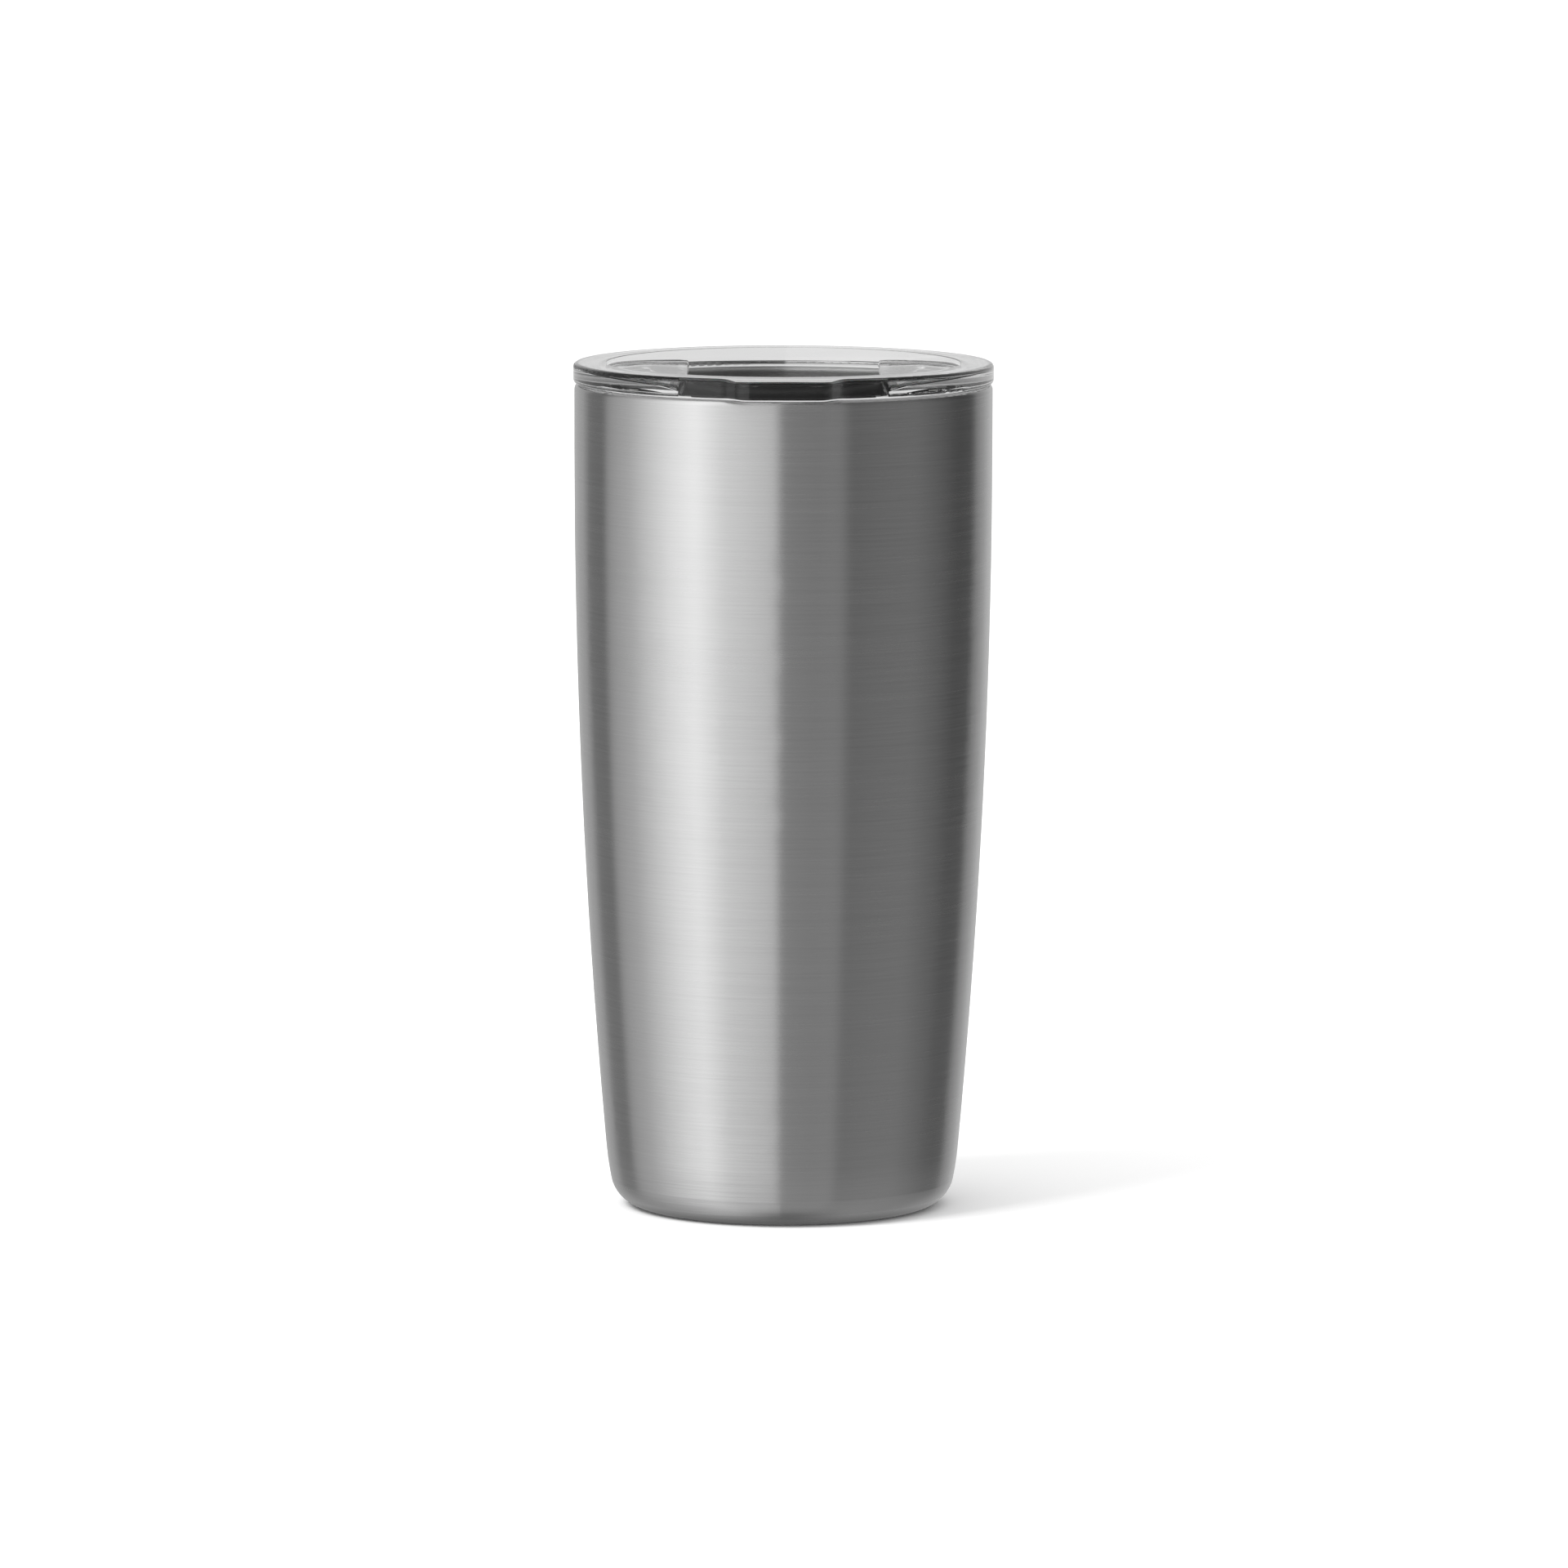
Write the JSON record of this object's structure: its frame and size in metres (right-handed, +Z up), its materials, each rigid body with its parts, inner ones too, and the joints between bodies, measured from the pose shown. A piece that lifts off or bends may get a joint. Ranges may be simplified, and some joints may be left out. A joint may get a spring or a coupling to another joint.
{
  "type": "insulated tumbler with lid",
  "caption": "Double-walled brushed steel tumbler with a clear press-in lid, a pry tab and a magnetic sliding drink closure.",
  "frame": {"origin": "centre of the ring the tumbler stands on, at the floor", "axes": "+Z up along the tumbler's axis, the lid's pry tab towards -Y"},
  "size_m": [0.0734, 0.0766, 0.1483],
  "materials": {
    "brushed_steel": "fine brushed grain that runs round the body",
    "liner_steel": "drawn and electropolished, faint turning lines",
    "base_steel": "pressed sheet, satin",
    "port_solder": "dark solder glass bead",
    "getter": "sintered metal, dull grey",
    "clear_plastic": "clear polished moulding",
    "cover_plastic": "clear, faintly frosted at the weld",
    "silicone": "translucent silicone, satin",
    "slider_plastic": "black, fine moulded texture",
    "magnet": "nickel plated"
  },
  "bodies": {
    "cup": {"outer_shell": "brushed_steel", "inner_liner": "liner_steel", "outer_base": "base_steel", "base_cover": "base_steel", "vacuum_port_seal": "port_solder", "getter_pill": "getter", "getter_clip": "base_steel"},
    "gasket": {"lid_gasket": "silicone"},
    "lid": {"lid_body": "clear_plastic", "lid_magnet_open_left": "magnet", "magnet_cover_open_left": "cover_plastic", "lid_magnet_open_right": "magnet", "magnet_cover_open_right": "cover_plastic", "lid_magnet_closed_left": "magnet", "magnet_cover_closed_left": "cover_plastic", "lid_magnet_closed_right": "magnet", "magnet_cover_closed_right": "cover_plastic"},
    "slider": {"slider_top": "slider_plastic", "slider_base": "slider_plastic", "slider_magnet_left": "magnet", "slider_magnet_right": "magnet"}
  },
  "joints": [
    {"name": "lid_lift", "type": "slide", "parent": "cup", "child": "gasket", "axis": [0, 0, 1], "range_m": [0, 0.06]},
    {"name": "lid_turn", "type": "hinge", "parent": "gasket", "child": "lid", "pos_m": [0, 0, 0.1375], "axis": [0, 0, 1], "continuous": true},
    {"name": "slider_slide", "type": "slide", "parent": "lid", "child": "slider", "axis": [0, 1, 0], "range_m": [0, 0.022]}
  ]
}
